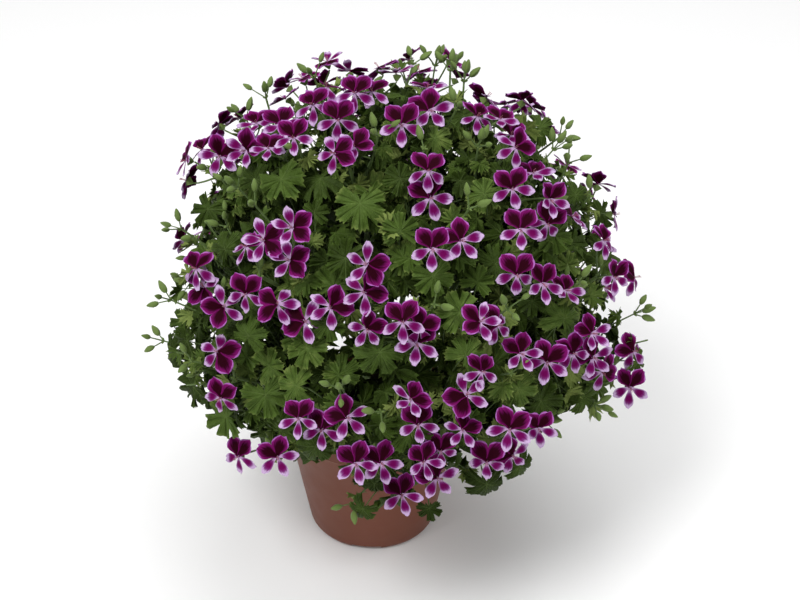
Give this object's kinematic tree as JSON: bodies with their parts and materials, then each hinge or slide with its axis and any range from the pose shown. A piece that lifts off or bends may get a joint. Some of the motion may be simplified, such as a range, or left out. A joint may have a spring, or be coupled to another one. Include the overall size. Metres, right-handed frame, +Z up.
{
  "type": "potted angel pelargonium",
  "caption": "Potted angel pelargonium: a dome of lobed leaves on branching shoots, dotted with small two-tone flower heads, in a round tapered nursery pot.",
  "frame": {"origin": "centre of the pot's middle foot, on the ground that the pot stands on", "axes": "+Z up, -Y towards the viewer of the reference view, +X to that viewer's right"},
  "size_m": [0.3625, 0.4005, 0.4009],
  "materials": {
    "pot": "matte",
    "potting_mix": "matte",
    "foliage": "matte",
    "petals": "matte"
  },
  "bodies": {
    "root": {"pot": "pot", "potting_mix": "potting_mix", "leafy_shoot_01": "foliage", "leafy_shoot_02": "foliage", "leafy_shoot_03": "foliage", "leafy_shoot_04": "foliage", "leafy_shoot_05": "foliage", "leafy_shoot_06": "foliage", "leafy_shoot_07": "foliage", "leafy_shoot_08": "foliage", "leafy_shoot_09": "foliage", "leafy_shoot_10": "foliage", "leafy_shoot_11": "foliage", "leafy_shoot_12": "foliage", "leafy_shoot_13": "foliage", "flower_head_01": "petals", "flower_head_02": "petals", "flower_head_03": "petals", "flower_head_04": "petals", "flower_head_05": "petals", "flower_head_06": "petals", "flower_head_07": "petals", "flower_head_08": "petals", "flower_head_09": "petals", "flower_head_10": "petals", "flower_head_11": "petals", "flower_head_12": "petals", "flower_head_13": "petals", "flower_head_14": "petals", "flower_head_15": "petals", "flower_head_16": "petals", "flower_head_17": "petals", "flower_head_18": "petals", "flower_head_19": "petals", "flower_head_20": "petals", "flower_head_21": "petals", "flower_head_22": "petals", "flower_head_23": "petals", "flower_head_24": "petals", "flower_head_25": "petals", "flower_head_26": "petals", "flower_head_27": "petals", "flower_head_28": "petals", "flower_head_29": "petals", "flower_head_30": "petals", "flower_head_31": "petals", "flower_head_32": "petals", "flower_head_33": "petals", "flower_head_34": "petals", "flower_head_35": "petals", "flower_head_36": "petals", "flower_head_37": "petals", "flower_head_38": "petals", "flower_head_39": "petals", "flower_head_40": "petals", "flower_head_41": "petals", "flower_head_42": "petals", "flower_head_43": "petals", "flower_head_44": "petals", "flower_head_45": "petals"}
  },
  "joints": []
}
